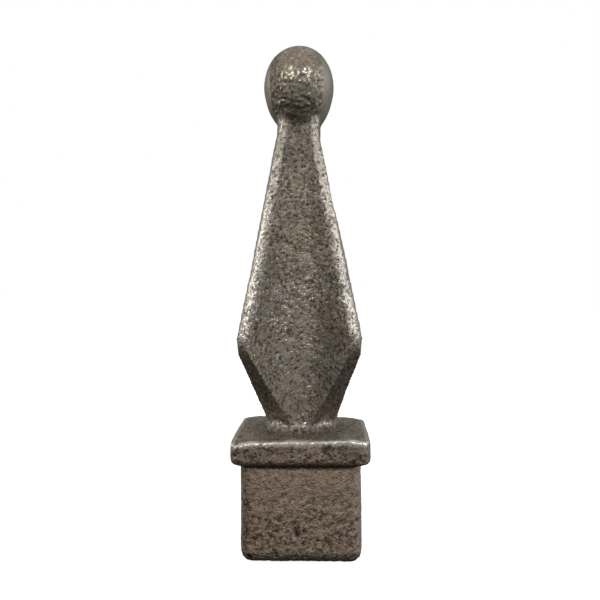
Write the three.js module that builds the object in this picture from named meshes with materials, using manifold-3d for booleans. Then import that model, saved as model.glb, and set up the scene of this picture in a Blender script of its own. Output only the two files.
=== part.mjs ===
// A ball-topped spear finial for the open end of a square fence post, cast in one piece in grey iron.
// A plug at its foot drives into the tube, a flange covers the tube's cut end, and above them stands
// a four-ridged spear with a hollow flute down each face, a narrow neck and a ball.
// Millimetres, +Z up. The origin is the middle of the plug's underside, which the finial stands on.
import * as THREE from 'three';
import { mergeVertices } from 'three/addons/utils/BufferGeometryUtils.js';
import Module from 'manifold-3d';

// The square tube that the finial closes, and the play that its plug keeps inside it.
const tubeSide = 25.4;
const tubeWall = 1.65;
const plugPlay = 0.1;

// The plug, with rounded upright corners and a rounded lower edge that leads it into the tube.
const plugLength = 17.9;
const plugCornerRadius = 2.3;
const plugLeadRadius = 1.9;

// The flange, as wide as the tube outside.
const flangeThickness = 4.75;
const flangeCornerRadius = 2.5;
const flangeUpperEdge = 0.5;
const flangeLowerEdge = 1;

// The low fillet round the spear's foot: how far it reaches from the axis at the top and how much
// further on the flange.
const filletRadius = 6.6;
const filletReach = 2.8;
const filletHeight = 2.4;

// The spear: a square section, widest at its shoulder, that tapers to the flange below and to the
// neck above. Its heights are above the flange.
const shoulderSide = 23.8;
const shoulderHeight = 16.2;
const shoulderEase = 2.4;
const spearFootSide = 13;
const neckSide = 8.6;
const neckHeight = 56.8;
const neckCollar = 2.2;

// The flats on the four ridges: their widths above the shoulder and, since they are cut back below
// it, their distance from the axis at the flange.
const ridgeFlatAtNeck = 2.3;
const ridgeFlatAtShoulder = 3.2;
const ridgeReachAtFoot = 4.9;

// The flute down each face: the distance of its floor from the axis and the radius of its section,
// at the neck, the shoulder and the flange.
const fluteFloorAtNeck = 3.6;
const fluteFloorAtShoulder = 6.4;
const fluteFloorAtFoot = 6.5;
const fluteRadiusAtNeck = 5;
const fluteRadiusAtShoulder = 11.1;
const fluteRadiusAtFoot = 3.5;

// The ball, a little taller than wide, and fuller above its widest line than below it.
const ballRadius = 6.8;
const ballHeight = 66.4;
const ballCrown = 7.8;
const ballDrop = 9.5;

// How finely curved faces are divided.
const cornerSteps = 5;
const edgeSteps = 3;
const easeSteps = 5;
const roundSteps = 64;
const ballSteps = 14;
const filletSteps = 5;

const plugSide = tubeSide - 2 * tubeWall - plugPlay;
const flangeSide = tubeSide;
const flangeTop = plugLength + flangeThickness;
const shoulder = flangeTop + shoulderHeight;
const neck = flangeTop + neckHeight;
const ballCentre = flangeTop + ballHeight;
const rightAngle = Math.PI / 2;

const wasm = await Module();
wasm.setup();

// A closed three.js geometry as a solid that can be joined and cut.
function solidOf(geometry) {
  const bare = new THREE.BufferGeometry();
  bare.setAttribute('position', geometry.getAttribute('position'));
  if (geometry.index) bare.setIndex(geometry.index);
  const merged = mergeVertices(bare, 1e-4);
  return new wasm.Manifold(new wasm.Mesh({
    numProp: 3,
    vertProperties: new Float32Array(merged.getAttribute('position').array),
    triVerts: new Uint32Array(merged.index.array),
  }));
}

// The solid as a three.js geometry with flat facets.
function geometryOf(solid) {
  const mesh = solid.getMesh();
  const geometry = new THREE.BufferGeometry();
  geometry.setAttribute('position', new THREE.BufferAttribute(mesh.vertProperties, 3));
  geometry.setIndex(new THREE.BufferAttribute(mesh.triVerts, 1));
  const flat = geometry.toNonIndexed();
  flat.computeVertexNormals();
  return flat;
}

function roundedSquare(side, radius) {
  const straight = side / 2 - radius;
  const shape = new THREE.Shape();
  shape.absarc(straight, straight, radius, 0, rightAngle);
  shape.absarc(-straight, straight, radius, rightAngle, 2 * rightAngle);
  shape.absarc(-straight, -straight, radius, 2 * rightAngle, 3 * rightAngle);
  shape.absarc(straight, -straight, radius, 3 * rightAngle, 4 * rightAngle);
  shape.closePath();
  return shape;
}

// A square block with rounded upright corners, from bottom to top, whose upper and lower edges have
// the given radius.
function roundedBlock(side, cornerRadius, edgeRadius, bottom, top) {
  const geometry = new THREE.ExtrudeGeometry(roundedSquare(side, cornerRadius), {
    depth: top - bottom - 2 * edgeRadius,
    curveSegments: cornerSteps,
    bevelEnabled: true,
    bevelThickness: edgeRadius,
    bevelSize: edgeRadius,
    bevelOffset: -edgeRadius,
    bevelSegments: edgeSteps,
  });
  return solidOf(geometry.translate(0, 0, bottom + edgeRadius));
}

// The plug runs up into the flange, which hides its rounded upper edge.
function plug() {
  return roundedBlock(plugSide, plugCornerRadius, plugLeadRadius, 0, plugLength + plugLeadRadius);
}

// The flange's lower edge is rounder than its upper one, so each edge comes from a block of its own
// and the flange is what the two blocks share.
function flange() {
  const below = plugLength - flangeUpperEdge;
  const above = flangeTop + flangeLowerEdge;
  const lower = roundedBlock(flangeSide, flangeCornerRadius, flangeLowerEdge, plugLength, above);
  const upper = roundedBlock(flangeSide, flangeCornerRadius, flangeUpperEdge, below, flangeTop);
  return lower.intersect(upper);
}

// The fillet, turned from inside the flange up to where it runs into the spear.
function fillet() {
  const inside = flangeTop - flangeThickness / 2;
  const profile = [
    new THREE.Vector2(0, inside),
    new THREE.Vector2(filletRadius + filletReach, inside),
  ];
  for (let step = 0; step <= filletSteps; step += 1) {
    const turn = (rightAngle * step) / filletSteps;
    profile.push(new THREE.Vector2(
      filletRadius + filletReach * (1 - Math.sin(turn)),
      flangeTop + filletHeight * (1 - Math.cos(turn)),
    ));
  }
  profile.push(new THREE.Vector2(0, flangeTop + filletHeight));
  return turned(profile);
}

// A profile of radius and height, turned about the axis.
function turned(profile) {
  return solidOf(new THREE.LatheGeometry(profile, roundSteps).rotateX(rightAngle));
}

// A bar with the spear's outline, seen square to it: it reaches `foot` from the axis at the flange,
// `wide` at the shoulder, where the corner is eased, and `narrow` at the neck. It ends inside the ball.
function outlineBar(foot, wide, narrow, across) {
  const lower = new THREE.Vector2(foot - wide, flangeTop - shoulder).setLength(shoulderEase);
  const upper = new THREE.Vector2(narrow - wide, neck - shoulder).setLength(shoulderEase);
  const shape = new THREE.Shape();
  shape.moveTo(-foot, flangeTop);
  shape.lineTo(foot, flangeTop);
  shape.lineTo(wide + lower.x, shoulder + lower.y);
  shape.quadraticCurveTo(wide, shoulder, wide + upper.x, shoulder + upper.y);
  shape.lineTo(narrow, neck);
  shape.lineTo(narrow, neck + neckCollar);
  shape.lineTo(0, ballCentre);
  shape.lineTo(-narrow, neck + neckCollar);
  shape.lineTo(-narrow, neck);
  shape.lineTo(-wide - upper.x, shoulder + upper.y);
  shape.quadraticCurveTo(-wide, shoulder, -wide - lower.x, shoulder + lower.y);
  shape.closePath();
  const depth = 2 * shoulderSide;
  const geometry = new THREE.ExtrudeGeometry(shape, {
    depth,
    curveSegments: easeSteps,
    bevelEnabled: false,
  });
  return solidOf(geometry.translate(0, 0, -depth / 2).rotateX(rightAngle).rotateZ(across));
}

// The distance from the axis of a ridge's flat of the given width, which cuts the corner off a
// square of the given side.
function ridgeReach(side, flat) {
  return side * Math.SQRT1_2 - flat / 2;
}

// A length of the gouge that cuts the flute of the face towards -Y, from one level circle up to
// another. The circles' floors are set, so it is a cone sheared over.
function gougeLength(low, high) {
  const height = high.level - low.level;
  const lean = (low.floor + low.radius - high.floor - high.radius) / height;
  const geometry = new THREE.CylinderGeometry(high.radius, low.radius, height, roundSteps);
  geometry.rotateX(rightAngle).translate(0, 0, height / 2);
  geometry.applyMatrix4(new THREE.Matrix4().set(
    1, 0, 0, 0,
    0, 1, lean, -(low.floor + low.radius),
    0, 0, 1, low.level,
    0, 0, 0, 1,
  ));
  return solidOf(geometry);
}

// The whole gouge swells from the flange to the shoulder, narrows to the neck, and runs on past the
// neck at the same rate until the ball hides its end.
function gouge() {
  const foot = { level: flangeTop, floor: fluteFloorAtFoot, radius: fluteRadiusAtFoot };
  const waist = { level: shoulder, floor: fluteFloorAtShoulder, radius: fluteRadiusAtShoulder };
  const share = (ballCentre - shoulder) / (neck - shoulder);
  const end = {
    level: ballCentre,
    floor: waist.floor + (fluteFloorAtNeck - waist.floor) * share,
    radius: waist.radius + (fluteRadiusAtNeck - waist.radius) * share,
  };
  return gougeLength(foot, waist).add(gougeLength(waist, end));
}

// The spear: two bars at right angles give the square section, two more across the diagonals give
// the ridges' flats, and the four gouges hollow the faces.
function spear() {
  const foot = spearFootSide / 2;
  const wide = shoulderSide / 2;
  const narrow = neckSide / 2;
  let body = outlineBar(foot, wide, narrow, 0);
  body = body.intersect(outlineBar(foot, wide, narrow, rightAngle));
  for (const diagonal of [0.5, 1.5]) {
    body = body.intersect(outlineBar(
      ridgeReachAtFoot,
      ridgeReach(shoulderSide, ridgeFlatAtShoulder),
      ridgeReach(neckSide, ridgeFlatAtNeck),
      diagonal * rightAngle,
    ));
  }
  const flute = gouge();
  for (const turn of [0, 90, 180, 270]) body = body.subtract(flute.rotate([0, 0, turn]));
  return body;
}

function ball() {
  const profile = [];
  for (let step = 0; step <= 2 * ballSteps; step += 1) {
    const turn = -rightAngle + (rightAngle * step) / ballSteps;
    const rise = Math.sin(turn) * (turn < 0 ? ballDrop : ballCrown);
    const radius = step % (2 * ballSteps) === 0 ? 0 : ballRadius * Math.cos(turn);
    profile.push(new THREE.Vector2(radius, ballCentre + rise));
  }
  return turned(profile);
}

const castIron = new THREE.MeshStandardMaterial({ color: 0x6f665a, roughness: 0.55, metalness: 0.8 });

const forms = [plug(), flange(), fillet(), spear(), ball()];
const casting = forms.reduce((whole, form) => whole.add(form));
const finialCasting = new THREE.Mesh(geometryOf(casting), castIron);
finialCasting.name = 'finial_casting';

const finial = new THREE.Group();
finial.name = 'ball_spear_finial';
finial.add(finialCasting);

export default finial;
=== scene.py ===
import math

import bpy
import numpy
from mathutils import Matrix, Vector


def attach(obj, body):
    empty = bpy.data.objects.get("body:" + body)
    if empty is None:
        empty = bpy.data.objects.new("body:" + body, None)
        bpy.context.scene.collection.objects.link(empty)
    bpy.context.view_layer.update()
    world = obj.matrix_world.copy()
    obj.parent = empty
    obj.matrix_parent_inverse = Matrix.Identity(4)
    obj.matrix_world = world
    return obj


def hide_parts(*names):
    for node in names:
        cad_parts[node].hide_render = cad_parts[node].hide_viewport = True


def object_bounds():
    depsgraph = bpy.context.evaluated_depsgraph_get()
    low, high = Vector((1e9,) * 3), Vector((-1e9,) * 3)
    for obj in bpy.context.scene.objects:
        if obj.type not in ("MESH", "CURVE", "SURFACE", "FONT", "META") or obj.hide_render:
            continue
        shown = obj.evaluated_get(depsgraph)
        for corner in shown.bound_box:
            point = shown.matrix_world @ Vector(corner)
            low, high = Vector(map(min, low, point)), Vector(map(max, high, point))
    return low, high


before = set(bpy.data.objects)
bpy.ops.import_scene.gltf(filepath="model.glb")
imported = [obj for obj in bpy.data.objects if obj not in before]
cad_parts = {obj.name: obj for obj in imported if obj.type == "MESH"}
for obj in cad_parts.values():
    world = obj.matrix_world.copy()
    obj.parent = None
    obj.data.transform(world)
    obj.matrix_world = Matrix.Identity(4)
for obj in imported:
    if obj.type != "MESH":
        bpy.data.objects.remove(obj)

cad_low, cad_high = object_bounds()
millimetre = 0.001

# The casting. The whole finial is one piece of grey iron, poured in green sand and left raw, without
# paint or oil. It keeps the CAD solid's form and gets a sand casting's skin: one mesh of small even
# faces, with softened creases, corners that didn't quite fill, sand grain and gas pits.
plug_length = 17.9 * millimetre
flange_half = 12.7 * millimetre
flange_top = plug_length + 4.75 * millimetre
spear_foot = flange_top + 2.4 * millimetre
shoulder_level = flange_top + 16.2 * millimetre
neck_level = flange_top + 56.8 * millimetre
ball_level = flange_top + 66.4 * millimetre

# How small the skin's faces are, how often each smoothing is repeated, and how high the levels are at
# which the casting's width is measured.
skin_voxel = 0.32 * millimetre
edge_passes = 2
ridge_passes = 24
melt_passes = 20
probe_passes = 16
level_step = 0.5 * millimetre

# The flange's corners, by their side along X and their side along Y: how many millimetres each lies
# above the level top, and how many its tip droops besides.
corner_lift = {(-1, -1): -0.3, (1, -1): 0.1, (-1, 1): 0.3, (1, 1): -0.2}
corner_droop = {(-1, -1): 0.6, (1, -1): 0.4, (-1, 1): 0.25, (1, 1): 0.35}
droop_reach = 4.5 * millimetre

# How far the right-hand ridges fall short of true below the neck.
right_slack = 0.33 * millimetre

# The blown hole in the plug's front, from the front's middle line and the plug's underside.
hole_across = -0.6 * millimetre
hole_height = 5.5 * millimetre
hole_depth = 0.2 * millimetre

# The ring of painted shade on the flange round the fillet: its distance from the axis, and its width.
shade_ring = 7.8 * millimetre
shade_width = 2.2 * millimetre


def use(piece):
    """Makes this the one selected and active object."""
    bpy.ops.object.select_all(action="DESELECT")
    piece.select_set(True)
    bpy.context.view_layer.objects.active = piece


def shape_with(piece, kind, **settings):
    """Adds a modifier to the piece, sets it and applies it."""
    use(piece)
    modifier = piece.modifiers.new(kind, kind)
    for name, value in settings.items():
        setattr(modifier, name, value)
    bpy.ops.object.modifier_apply(modifier=modifier.name)


def read_points(piece, values="co"):
    """The places of the mesh's points, or their normals, one row for each point."""
    points = numpy.empty(len(piece.data.vertices) * 3)
    piece.data.vertices.foreach_get(values, points)
    return points.reshape(-1, 3)


def write_points(piece, points):
    piece.data.vertices.foreach_set("co", points.ravel())
    piece.data.update()


def smooth_step(low, high, value):
    """Goes smoothly from 0 at low to 1 at high, whichever of the two is the greater."""
    share = numpy.clip((value - low) / (high - low), 0, 1)
    return share * share * (3 - 2 * share)


# The CAD solid's loose triangles are joined, covered with an even skin, and eased a little.
finial = bpy.data.objects.new("finial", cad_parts["finial_casting"].data.copy())
bpy.context.scene.collection.objects.link(finial)
use(finial)
bpy.ops.object.mode_set(mode="EDIT")
bpy.ops.mesh.select_all(action="SELECT")
bpy.ops.mesh.remove_doubles(threshold=1e-6)
bpy.ops.object.mode_set(mode="OBJECT")
shape_with(finial, "REMESH", mode="VOXEL", voxel_size=skin_voxel, use_smooth_shade=True)
shape_with(finial, "SMOOTH", factor=0.5, iterations=edge_passes)


def paint_group(piece, name, weights):
    """Gives the piece a vertex group, which keeps a modifier to the points that have a weight."""
    group = piece.vertex_groups.new(name=name)
    for index in numpy.flatnonzero(weights > 0.001):
        group.add([int(index)], float(weights[index]), "REPLACE")


def reach_by_level(points):
    """The greatest distance from the axis, along X or Y, at each level."""
    level = numpy.floor(points[:, 2] / level_step).astype(int)
    reach = numpy.zeros(level.max() + 2)
    numpy.maximum.at(reach, level, numpy.abs(points[:, :2]).max(axis=1))
    return reach[:-1]


# The ridges get rounder towards the neck, and the flange's upper edge is rounder than its lower one.
# Smoothing draws the ridges in, so each level of the spear is spread to its old width again.
points = read_points(finial)
heights = points[:, 2]
old_reach = reach_by_level(points)
on_spear = smooth_step(shoulder_level, shoulder_level + 4 * millimetre, heights)
soft = on_spear * (0.25 + 0.75 * smooth_step(shoulder_level, shoulder_level + 18 * millimetre, heights))
rim = numpy.abs(points[:, :2]).max(axis=1) > flange_half - 1.5 * millimetre
soft += 0.4 * rim * smooth_step(flange_top - 1.5 * millimetre, flange_top - 0.5 * millimetre, heights)
paint_group(finial, "soft", soft)
shape_with(finial, "SMOOTH", factor=0.5, iterations=ridge_passes, vertex_group="soft")
points = read_points(finial)
new_reach = reach_by_level(points)
middles = (numpy.arange(len(new_reach)) + 0.5) * level_step
lost = numpy.convolve(old_reach[:len(new_reach)] / new_reach, numpy.ones(9) / 9, mode="same")
regained = numpy.interp(heights, middles, lost)
on_spear *= 1 - smooth_step(neck_level, neck_level + 3 * millimetre, heights)
points[:, :2] *= (1 + (regained - 1) * on_spear)[:, None]
write_points(finial, points)

# The ridges melt into the ball above the neck, and the spear's foot into its fillet.
melt = smooth_step(neck_level - 1.5 * millimetre, neck_level, heights)
melt *= 1 - smooth_step(neck_level + 3.5 * millimetre, neck_level + 5.5 * millimetre, heights)
foot = 0.5 * smooth_step(flange_top + 0.4 * millimetre, flange_top + 1.6 * millimetre, heights)
foot *= 1 - smooth_step(spear_foot, spear_foot + 2 * millimetre, heights)
paint_group(finial, "melt", melt + foot)
shape_with(finial, "SMOOTH", factor=0.5, iterations=melt_passes, vertex_group="melt")

# The flange's corners settle by their own amounts, and the plug below stays square.
points = read_points(finial)
sheer = numpy.zeros(len(points))
for (side, depth), lift in corner_lift.items():
    across = points[:, 0] * side / flange_half
    along = points[:, 1] * depth / flange_half
    sheer += lift * millimetre * (1 + across) * (1 + along) / 4
    tip = smooth_step(flange_half - droop_reach, flange_half, numpy.minimum(across, along) * flange_half)
    sheer -= corner_droop[side, depth] * millimetre * tip
on_flange = smooth_step(plug_length + millimetre, flange_top - 0.5 * millimetre, points[:, 2])
on_flange *= 1 - smooth_step(flange_top + millimetre, spear_foot + 2 * millimetre, points[:, 2])
points[:, 2] += sheer * on_flange

# The right-hand ridges are a little slack below the neck.
slack = smooth_step(neck_level - 21 * millimetre, neck_level - 13 * millimetre, points[:, 2])
slack *= 1 - smooth_step(neck_level - 2 * millimetre, neck_level + 2 * millimetre, points[:, 2])
points[:, 0] -= right_slack * slack * smooth_step(0, 4 * millimetre, points[:, 0])
write_points(finial, points)

# The left and right sides of the casting were held to a grinding belt to take the flash off, so the
# faces and ridge edges that stand out furthest on those sides are smoother than the rest. The belt
# went a little further round on the right, and more lightly over the plug.
normals = read_points(finial, "normal")
heights = points[:, 2]
reach = numpy.abs(points[:, 0])
furthest = reach_by_level(points)
furthest = numpy.interp(heights, (numpy.arange(len(furthest)) + 0.5) * level_step, furthest)
outermost = smooth_step(0.6, 0.25, (furthest - reach) / millimetre)
outermost *= smooth_step(0.5, 0.8, numpy.abs(normals[:, 0]))
facing = smooth_step(-0.03, 0.03, numpy.abs(normals[:, 0]) - numpy.where(points[:, 0] > 0, 0.69, 0.8))
off_spear = 1 - smooth_step(flange_top - millimetre, flange_top, heights)
off_spear += smooth_step(neck_level + 2 * millimetre, neck_level + 3 * millimetre, heights)
ground = numpy.maximum(facing * off_spear, outermost * (1 - off_spear))
ground *= 1 - 0.45 * smooth_step(flange_top, plug_length, heights)

# Handling has polished the ridges above the shoulder, the more the nearer to their crests, and the
# flange's upper edge most of all, which also carries a painted highlight. The plug's lower edge is half
# polished too, and carries a painted reflection.
from_axis = numpy.hypot(points[:, 0], points[:, 1])
level = (heights / level_step).astype(int)
crest_reach = numpy.zeros(level.max() + 1)
numpy.maximum.at(crest_reach, level, from_axis)
floor_reach = crest_reach.copy()
numpy.minimum.at(floor_reach, level, from_axis)
middles = (numpy.arange(len(crest_reach)) + 0.5) * level_step
crest_here = numpy.interp(heights, middles, crest_reach)
floor_here = numpy.interp(heights, middles, floor_reach)
polish_and_sheen = smooth_step(0.32, 0.1, (crest_here - from_axis) / (crest_here - floor_here))
polish_and_sheen *= smooth_step(shoulder_level - 0.4 * millimetre, shoulder_level + 0.8 * millimetre, heights)
polish_and_sheen *= 1 - smooth_step(neck_level + 2 * millimetre, neck_level + 5 * millimetre, heights)
polish_and_sheen *= 1 - 0.8 * outermost
polish_and_sheen *= 0.64 - 0.14 * smooth_step(shoulder_level + 22 * millimetre, neck_level, heights)
polish_and_sheen *= 0.45 + 0.55 * smooth_step(shoulder_level, shoulder_level + 9 * millimetre, heights)
# The flange's upper edge: polish and a painted highlight along it.
edge_depth = flange_top + sheer - heights
edge_inset = flange_half - numpy.abs(points[:, :2]).max(axis=1)
worn_and_lit_edge = smooth_step(1.3, 0.7, numpy.hypot(edge_depth, edge_inset) / millimetre)
polish_and_sheen = numpy.maximum(polish_and_sheen, worn_and_lit_edge)
# The plug's lower edge: half polish and a painted reflection.
polish_and_sheen = numpy.maximum(polish_and_sheen, 0.45 * smooth_step(2.2 * millimetre, millimetre, heights))

# Pits crowd on the flange's sides and towards the plug's foot, and are few and shallow elsewhere.
pitting = 1 - 0.55 * smooth_step(0.2 * plug_length, plug_length, heights)
pitting[heights > plug_length] = 1
pitting *= 1 - 0.8 * smooth_step(flange_top - millimetre, flange_top, heights)
pitting *= (1 - 0.8 * ground) * (1 - 0.6 * worn_and_lit_edge)

# The spear's foot and the lower part of the ball are the lumpiest. The plug's sides and the ball's
# crown are only grainy.
lumpiness = 0.2 + 0.6 * smooth_step(plug_length, flange_top, heights)
lumpiness -= 0.3 * smooth_step(spear_foot, spear_foot + 4 * millimetre, heights)
lumpiness += 0.25 * smooth_step(neck_level, neck_level + 4 * millimetre, heights)
lumpiness -= 0.55 * smooth_step(ball_level + 3 * millimetre, ball_level + 6 * millimetre, heights)
lumpiness *= 1 - 0.9 * ground

# Dark blotches lie on the flange's sides and the lower half of the plug, and stain the plug's left.
blotchy = smooth_step(plug_length, 0.3 * plug_length, heights)
blotchy[heights > plug_length] = 0.95
blotchy *= smooth_step(flange_top, flange_top - millimetre, heights)
blotchy *= 0.5 + 0.5 * smooth_step(millimetre, 2.5 * millimetre, heights)
left_stain = smooth_step(-6.5 * millimetre, -10 * millimetre, points[:, 0])
blotchy += 0.7 * left_stain * (heights < plug_length)


def texture_of(name, kind, size, **settings):
    """A texture whose pattern is about this many millimetres across."""
    texture = bpy.data.textures.new(name, kind)
    texture.noise_scale = size * millimetre
    for setting, value in settings.items():
        setattr(texture, setting, value)
    return texture


def relief(texture, depth, level, group=""):
    """Moves the skin in and out along its normals by a texture, in millimetres from black to white."""
    shape_with(
        finial,
        "DISPLACE",
        texture=texture,
        strength=depth * millimetre,
        mid_level=level,
        vertex_group=group,
    )


# The relief, from the pattern's wide swells to the gas pits. The grain is faint on the ground sides,
# and the ball has coarser, rounder blebs of its own up to its crown.
even_noise = "IMPROVED_PERLIN"
paint_group(finial, "lumpiness", lumpiness)
on_ball = smooth_step(neck_level + 2 * millimetre, neck_level + 5 * millimetre, heights)
graininess = 1 - 0.9 * ground - 0.5 * on_ball * (1 - ground)
paint_group(finial, "graininess", graininess * (1 - 0.6 * worn_and_lit_edge))
paint_group(finial, "pitting", pitting)
coarse_skin = smooth_step(ball_level + 3.8 * millimetre, ball_level - 0.5 * millimetre, heights)
coarse_skin *= on_ball * (1 - ground)
paint_group(finial, "coarse skin", coarse_skin)
swells = texture_of("pattern swells", "CLOUDS", 5.5, noise_basis=even_noise, noise_depth=1)
relief(swells, 0.3, 0.5)
level_points = read_points(finial)
level_normals = read_points(finial, "normal")
lumps = texture_of("sand lumps", "CLOUDS", 1.0, noise_basis=even_noise, noise_depth=2)
relief(lumps, 0.42, 0.5, "lumpiness")
blebs = texture_of("ball blebs", "CLOUDS", 0.5, noise_basis=even_noise, noise_depth=1)
relief(blebs, 0.66, 0.5, "coarse skin")
grains = texture_of("sand grains", "CLOUDS", 0.45, noise_basis=even_noise, noise_depth=1)
relief(grains, 0.26, 0.5, "graininess")
pits = texture_of("gas pits", "VORONOI", 1.1, distance_metric="DISTANCE")
pits.use_color_ramp = True
pits.color_ramp.elements[0].position = 0.0
pits.color_ramp.elements[0].color = (0, 0, 0, 1)
pits.color_ramp.elements[1].position = 0.38
pits.color_ramp.elements[1].color = (1, 1, 1, 1)
relief(pits, 0.3, 1.0, "pitting")

# A blown hole in the plug's front, low down and a little left of its middle.
points = read_points(finial)
from_hole = numpy.hypot(points[:, 0] - hole_across, points[:, 2] - hole_height) / millimetre
hole = smooth_step(0.75, 0.3, from_hole)
points[:, 1] += hole_depth * hole * (points[:, 1] < -0.4 * plug_length)

# The relief stays a hair inside the CAD solid's box.
margin = 0.02 * millimetre
points = numpy.clip(points, numpy.array(cad_low) + margin, numpy.array(cad_high) - margin)
write_points(finial, points)

# What the finish follows: how deep a point is sunk in the grain, and how proud the form under the
# grain stands of its surroundings.
sunk = ((level_points - points) * level_normals).sum(axis=1) / millimetre
probe = finial.copy()
probe.data = finial.data.copy()
bpy.context.scene.collection.objects.link(probe)
write_points(probe, level_points)
shape_with(probe, "SMOOTH", factor=0.5, iterations=probe_passes)
proud = ((level_points - read_points(probe)) * level_normals).sum(axis=1) / millimetre
bpy.data.objects.remove(probe)

# Painted shade round the fillet and on the faces under the shoulder; the flange's sides a little darker.
painted_shade = 0.85 * numpy.exp(-((from_axis - shade_ring) / shade_width) ** 2)
painted_shade *= smooth_step(flange_top - millimetre, flange_top - 0.3 * millimetre, heights)
painted_shade *= 1 - smooth_step(flange_top + 0.8 * millimetre, flange_top + 1.8 * millimetre, heights)
facing_down = smooth_step(-0.15, -0.35, normals[:, 2]) * (heights < shoulder_level)
facing_down *= smooth_step(spear_foot, spear_foot + 2.5 * millimetre, heights)
painted_shade = numpy.maximum(painted_shade, 0.85 * facing_down)
flange_side = smooth_step(plug_length, plug_length + 0.5 * millimetre, heights)
flange_side *= smooth_step(flange_top, flange_top - 1.5 * millimetre, heights)
painted_shade = numpy.maximum(painted_shade, 0.15 * flange_side)

# More painted shade on the ball along the ground sides, mostly on the left, and up the flutes to the
# neck.
beside = smooth_step(0.45, 0.65, numpy.abs(normals[:, 0])) * (1 - ground)
beside *= numpy.where(points[:, 0] > 0, 0.25, 0.8)
painted_shade = numpy.maximum(painted_shade, beside * on_ball)
in_flute = smooth_step(shoulder_level, shoulder_level + 20 * millimetre, heights) * (1 - on_ball)
in_flute *= 0.47 + 0.23 * smooth_step(neck_level - 12 * millimetre, neck_level, heights)
painted_shade = numpy.maximum(painted_shade, in_flute * (1 - polish_and_sheen))

# Each flute also gets painted shade down its right half about the shoulder, seen square to its face.
across_face = numpy.where(
    numpy.abs(points[:, 1]) > numpy.abs(points[:, 0]),
    -numpy.sign(points[:, 1]) * points[:, 0],
    numpy.sign(points[:, 0]) * points[:, 1],
)
right_half = 0.55 * smooth_step(0.8 * millimetre, 4.2 * millimetre, across_face)
right_half *= smooth_step(spear_foot + 2 * millimetre, spear_foot + 7 * millimetre, heights)
right_half *= smooth_step(shoulder_level + 15 * millimetre, shoulder_level + 5 * millimetre, heights)
right_half *= smooth_step(0.3, 0.05, polish_and_sheen)
painted_shade = numpy.maximum(painted_shade, right_half)


def store(name, values):
    """Keeps a value for each point on the mesh, for the material to read."""
    attribute = finial.data.attributes.new(name, "FLOAT", "POINT")
    attribute.data.foreach_set("value", numpy.asarray(values, dtype=numpy.float32))


store("sunk", sunk)
store("proud", proud)
store("ground", ground)
store("polish_and_sheen", polish_and_sheen)
store("blotchy", blotchy)
store("painted_shade", painted_shade)
finial.vertex_groups.clear()


def feed(tree, socket, value):
    """Links an input socket to another node's output, or sets its value. Colours leave out alpha."""
    if isinstance(value, bpy.types.NodeSocket):
        tree.links.new(value, socket)
    elif socket.type == "RGBA":
        socket.default_value = (*value, 1)
    else:
        socket.default_value = value


def add_node(tree, kind, settings=None, **inputs):
    """Adds a shader node. Its inputs are given by name, or by number as i0, i1 and so on."""
    node = tree.nodes.new(kind)
    for name, value in (settings or {}).items():
        setattr(node, name, value)
    for name, value in inputs.items():
        numbered = name[0] == "i" and name[1:].isdigit()
        feed(tree, node.inputs[int(name[1:]) if numbered else name], value)
    return node


def spread(tree, value, low, high, start=0.0, end=1.0):
    """Maps a value from low..high to start..end, smoothly and clamped."""
    settings = {"interpolation_type": "SMOOTHSTEP"}
    node = add_node(tree, "ShaderNodeMapRange", settings, Value=value)
    node.inputs["From Min"].default_value = low
    node.inputs["From Max"].default_value = high
    node.inputs["To Min"].default_value = start
    node.inputs["To Max"].default_value = end
    return node.outputs["Result"]


def noise(tree, place, size, detail=2.0):
    """Noise from 0 to 1 whose cells are this many millimetres wide."""
    node = add_node(tree, "ShaderNodeTexNoise", Vector=place, Scale=1 / (size * millimetre))
    node.inputs["Detail"].default_value = detail
    return node.outputs["Fac"]


def grain_tones(tree, place, size):
    """Grains this many millimetres wide: a random tone for each, and the distance from its middle."""
    node = add_node(tree, "ShaderNodeTexVoronoi", Vector=place, Scale=1 / (size * millimetre))
    tone = add_node(tree, "ShaderNodeSeparateXYZ", Vector=node.outputs["Color"]).outputs["X"]
    return tone, node.outputs["Distance"]


def stored(tree, name):
    """The value that the mesh holds under this name."""
    return add_node(tree, "ShaderNodeAttribute", {"attribute_name": name}).outputs["Fac"]


def mix_colour(tree, share, first, second):
    node = add_node(tree, "ShaderNodeMix", {"data_type": "RGBA"}, i0=share, i6=first, i7=second)
    return node.outputs[2]


def mix_value(tree, share, first, second):
    return add_node(tree, "ShaderNodeMix", i0=share, i2=first, i3=second).outputs[0]


def multiply(tree, first, second):
    node = add_node(tree, "ShaderNodeMath", {"operation": "MULTIPLY"}, i0=first, i1=second)
    return node.outputs[0]


iron = bpy.data.materials.new("raw cast iron")
iron.use_nodes = True
tree = iron.node_tree
tree.nodes.clear()
place = tree.nodes.new("ShaderNodeTexCoord").outputs["Object"]
sunk_here = stored(tree, "sunk")
proud_here = stored(tree, "proud")
ground_here = stored(tree, "ground")
blotchy_here = stored(tree, "blotchy")
polish_and_sheen_here = stored(tree, "polish_and_sheen")
painted_shade_here = stored(tree, "painted_shade")

warm_iron = (0.42, 0.36, 0.28)
grey_iron = (0.38, 0.345, 0.30)
brown_iron = (0.58, 0.435, 0.33)
hollow_iron = (0.12, 0.09, 0.065)
pit_iron = (0.03, 0.02, 0.013)
glint_iron = (0.72, 0.65, 0.55)
wear_and_sheen_iron = (0.76, 0.72, 0.65)
ground_iron = (0.41, 0.385, 0.345)
olive_iron = (0.12, 0.125, 0.075)
rust = (0.20, 0.10, 0.055)

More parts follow.
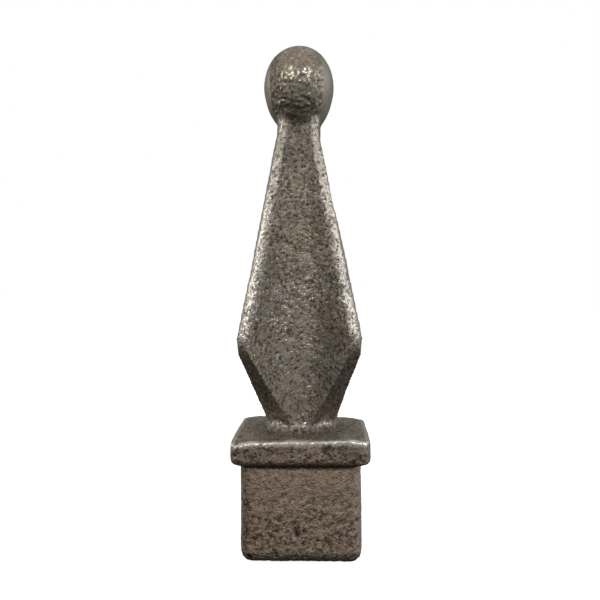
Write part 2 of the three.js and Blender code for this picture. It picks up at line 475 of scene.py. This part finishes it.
# The bare iron: warmer and greyer patches, browner on the plug, and painted shade in the hollows of the
# skin.
patches = noise(tree, place, 7.0, 3.0)
speckle = noise(tree, place, 0.42, 3.0)
colour = mix_colour(tree, spread(tree, patches, 0.35, 0.65), warm_iron, grey_iron)
height = add_node(tree, "ShaderNodeSeparateXYZ", Vector=place).outputs["Z"]
ball_here = spread(tree, height, neck_level + 2 * millimetre, neck_level + 5 * millimetre)
browner = spread(tree, height, flange_top, plug_length, 0.0, 0.85)
colour = mix_colour(tree, browner, colour, brown_iron)
hollow_shade = spread(tree, sunk_here, 0.0, 0.14)
colour = mix_colour(tree, multiply(tree, hollow_shade, 0.6), colour, hollow_iron)

# Single grains: dark flecks, fewer on the ball and near the plug's top, and painted glints on bright
# crests.
grain_tone, grain_edge = grain_tones(tree, place, 0.5)
fleck = multiply(tree, spread(tree, grain_tone, 0.55, 0.15), spread(tree, speckle, 0.42, 0.56))
fleck = multiply(tree, fleck, mix_value(tree, ball_here, 0.95, 0.6))
plug_top = spread(tree, height, 0.35 * plug_length, 0.85 * plug_length)
plug_top = multiply(tree, plug_top, spread(tree, height, 1.02 * plug_length, 0.97 * plug_length))
fleck = multiply(tree, fleck, mix_value(tree, plug_top, 1.0, 0.5))
colour = mix_colour(tree, fleck, colour, hollow_iron)
glint = multiply(tree, spread(tree, grain_tone, 0.55, 0.95), spread(tree, speckle, 0.58, 0.42))
crest_glint = multiply(tree, glint, spread(tree, sunk_here, 0.12, -0.04))
colour = mix_colour(tree, multiply(tree, crest_glint, 0.9), colour, glint_iron)

# Creases and pits get painted shade, nearly black.
crease_shade = spread(tree, proud_here, -0.015, -0.09)
colour = mix_colour(tree, multiply(tree, crease_shade, 0.7), colour, pit_iron)
pit_shade = spread(tree, sunk_here, 0.10, 0.22)
colour = mix_colour(tree, pit_shade, colour, pit_iron)

# Wear brightens the polished ridges and edges and whatever stands proud, grain by grain on the ridges
# and evenly on the flange's edge. On the flange's upper edge it is also a painted highlight, and on the
# plug's lower edge a painted reflection.
wear_and_sheen = mix_value(tree, polish_and_sheen_here, multiply(tree, spread(tree, proud_here, 0.05, 0.20), 0.7), 1.0)
worn_grains = spread(tree, grain_tone, 0.1, 0.5, 0.15, 1.0)
sheen_edge = spread(tree, polish_and_sheen_here, 0.68, 0.95)
worn_grains = mix_value(tree, multiply(tree, sheen_edge, 0.8), worn_grains, 1.0)
wear_and_sheen = multiply(tree, wear_and_sheen, worn_grains)
wear_and_sheen = multiply(tree, wear_and_sheen, spread(tree, sunk_here, 0.22, 0.04))
colour = mix_colour(tree, wear_and_sheen, colour, wear_and_sheen_iron)

# Blotches and traces of rust lie over the bare iron and the worn.
blotch = multiply(tree, spread(tree, noise(tree, place, 1.1, 2.0), 0.54, 0.68), blotchy_here)
colour = mix_colour(tree, multiply(tree, blotch, 0.65), colour, pit_iron)
rusty = multiply(tree, spread(tree, patches, 0.60, 0.74), spread(tree, speckle, 0.4, 0.6))
colour = mix_colour(tree, multiply(tree, rusty, 0.5), colour, rust)

# The ground sides are an even grey with faint upright strokes from the belt.
stroke_place = add_node(tree, "ShaderNodeMapping", Vector=place, Scale=(1, 1, 0.05)).outputs["Vector"]
stroke = noise(tree, stroke_place, 0.2, 3.0)
brushed = mix_colour(tree, spread(tree, stroke, 0.35, 0.65), hollow_iron, ground_iron)
brushed = mix_colour(tree, 0.7, brushed, ground_iron)
colour = mix_colour(tree, multiply(tree, ground_here, 0.85), colour, brushed)

# The painted shade comes last, and the ball is a little darker and more olive than the rest.
colour = mix_colour(tree, multiply(tree, painted_shade_here, 0.55), colour, pit_iron)
colour = mix_colour(tree, multiply(tree, ball_here, 0.15), colour, olive_iron)

# Each grain has its own gloss. The worn iron, painted edge highlights included, is the smoothest, and
# hollows, ground sides and the painted shade are the dullest.
roughness = spread(tree, grain_tone, 0.1, 0.9, 0.52, 0.28)
roughness = mix_value(tree, multiply(tree, ball_here, 0.8), roughness, 0.32)
roughness = mix_value(tree, hollow_shade, roughness, 0.6)
roughness = mix_value(tree, wear_and_sheen, roughness, 0.27)
roughness = mix_value(tree, ground_here, roughness, 0.58)
roughness = mix_value(tree, painted_shade_here, roughness, 0.7)
metallic = mix_value(tree, pit_shade, 0.9, 0.4)

# The bump holds only the grain that is too fine for the mesh.
coarse = noise(tree, place, 0.5, 3.0)
fine = noise(tree, place, 0.25, 2.0)
grain = mix_value(tree, 0.4, coarse, fine)
grain = mix_value(tree, 0.4, grain, spread(tree, grain_edge, 0.7, 0.0))
grain = mix_value(tree, ground_here, grain, mix_value(tree, 0.35, 0.5, stroke))
strength = mix_value(tree, ball_here, 0.6, 0.12)
strength = mix_value(tree, sheen_edge, strength, 0.25)
bump = add_node(tree, "ShaderNodeBump", Height=grain, Strength=strength, Distance=0.2 * millimetre)
shader = add_node(
    tree,
    "ShaderNodeBsdfPrincipled",
    Roughness=roughness,
    Metallic=metallic,
    Normal=bump.outputs["Normal"],
)
tree.links.new(colour, shader.inputs["Base Color"])
add_node(tree, "ShaderNodeOutputMaterial", Surface=shader.outputs["BSDF"])

finial.data.materials.clear()
finial.data.materials.append(iron)
use(finial)
bpy.ops.object.shade_smooth()
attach(finial, "root")
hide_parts("finial_casting")

# The floor. A plain white sheet that the finial stands on, lit from inside so that it stays nearly
# white, with only a soft shadow at the plug.
bpy.ops.mesh.primitive_plane_add(size=4, location=(0, 0, 0))
floor = bpy.context.object
floor.name = "floor"
paper = bpy.data.materials.new("white paper")
paper.use_nodes = True
tree = paper.node_tree
tree.nodes.clear()
glow = add_node(tree, "ShaderNodeEmission", Color=(1, 1, 1), Strength=0.88)
sheet = add_node(tree, "ShaderNodeBsdfDiffuse", Color=(0.6, 0.6, 0.6))
both = add_node(tree, "ShaderNodeAddShader", i0=glow.outputs[0], i1=sheet.outputs[0])
add_node(tree, "ShaderNodeOutputMaterial", Surface=both.outputs[0])
floor.data.materials.append(paper)
floor.visible_glossy = False
floor.visible_diffuse = False

# The studio. A large soft light on each side, a smaller one to each side above the camera, and a
# white backdrop.


def soft_light(name, azimuth, elevation, distance, width, height, brightness):
    """An area light that faces the finial's middle. Azimuth 0 is in front and 90 on the right."""
    lamp = bpy.data.lights.new(name, "AREA")
    lamp.shape = "RECTANGLE"
    lamp.size = width
    lamp.size_y = height
    lamp.energy = brightness * math.pi * width * height
    turn = math.radians(azimuth)
    tilt = math.radians(elevation)
    holder = bpy.data.objects.new(name, lamp)
    holder.location = (
        distance * math.sin(turn) * math.cos(tilt),
        -distance * math.cos(turn) * math.cos(tilt),
        50 * millimetre + distance * math.sin(tilt),
    )
    holder.rotation_euler = (math.pi / 2 - tilt, 0, turn)
    bpy.context.scene.collection.objects.link(holder)


soft_light("left softbox", -91, 22, 0.5, 0.28, 0.22, 3.25)
soft_light("right softbox", 91, 24, 0.5, 0.28, 0.24, 2.6)
soft_light("left front softbox", -27, 32, 0.5, 0.06, 0.08, 30.0)
soft_light("right front softbox", 34, 32, 0.5, 0.06, 0.08, 27.0)

# The room that the iron mirrors is dim at the sides, lighter behind the camera, overhead and low on
# the right, and warmer on the left. The camera itself sees plain white.
backdrop = bpy.data.worlds.new("studio")
bpy.context.scene.world = backdrop
backdrop.use_nodes = True
tree = backdrop.node_tree
tree.nodes.clear()
direction = tree.nodes.new("ShaderNodeTexCoord").outputs["Generated"]
aim = add_node(tree, "ShaderNodeSeparateXYZ", Vector=direction)
above = spread(tree, aim.outputs["Z"], -0.66, -0.2, 0.1, 1.0)
front = spread(tree, aim.outputs["Y"], -0.6, -0.97, 0.14, 0.38)
front = multiply(tree, front, spread(tree, aim.outputs["Z"], -0.08, 0.3, 1.0, 0.62))
room = mix_value(tree, spread(tree, aim.outputs["Y"], 0.1, 0.6), front, 0.25)
room = mix_value(tree, spread(tree, aim.outputs["Z"], 0.5, 0.85), room, 0.58)
low_right = spread(tree, aim.outputs["X"], 0.4, 0.85)
low_right = multiply(tree, low_right, spread(tree, aim.outputs["Z"], 0.1, -0.15))
room = mix_value(tree, multiply(tree, low_right, 0.5), room, 0.9)
ray = tree.nodes.new("ShaderNodeLightPath").outputs["Is Camera Ray"]
strength = mix_value(tree, ray, multiply(tree, above, room), 1.0)
from_right = spread(tree, aim.outputs["X"], -0.6, 0.6)
tint = mix_colour(tree, from_right, (1.0, 0.94, 0.86), (1.0, 0.985, 0.99))
tint = mix_colour(tree, ray, tint, (1.0, 1.0, 1.0))
sky = add_node(tree, "ShaderNodeBackground", Color=tint, Strength=strength)
add_node(tree, "ShaderNodeOutputWorld", Surface=sky.outputs[0])
bpy.context.scene.view_settings.view_transform = "Standard"

# The camera, level with the finial's middle and close to it, turned a little to its right.
camera_distance = 132 * millimetre
camera_height = 47.5 * millimetre
camera_turn = math.radians(2)
camera_roll = math.radians(0.5)
camera_aside = math.radians(0.07)
lens = bpy.data.cameras.new("camera")
lens.lens = 40.5
lens.sensor_width = 36
lens.clip_start = millimetre
camera = bpy.data.objects.new("camera", lens)
camera.location = (
    camera_distance * math.sin(camera_turn),
    -camera_distance * math.cos(camera_turn),
    camera_height,
)
camera.rotation_euler = (math.pi / 2, camera_roll, camera_turn + camera_aside)
bpy.context.scene.collection.objects.link(camera)
bpy.context.scene.camera = camera
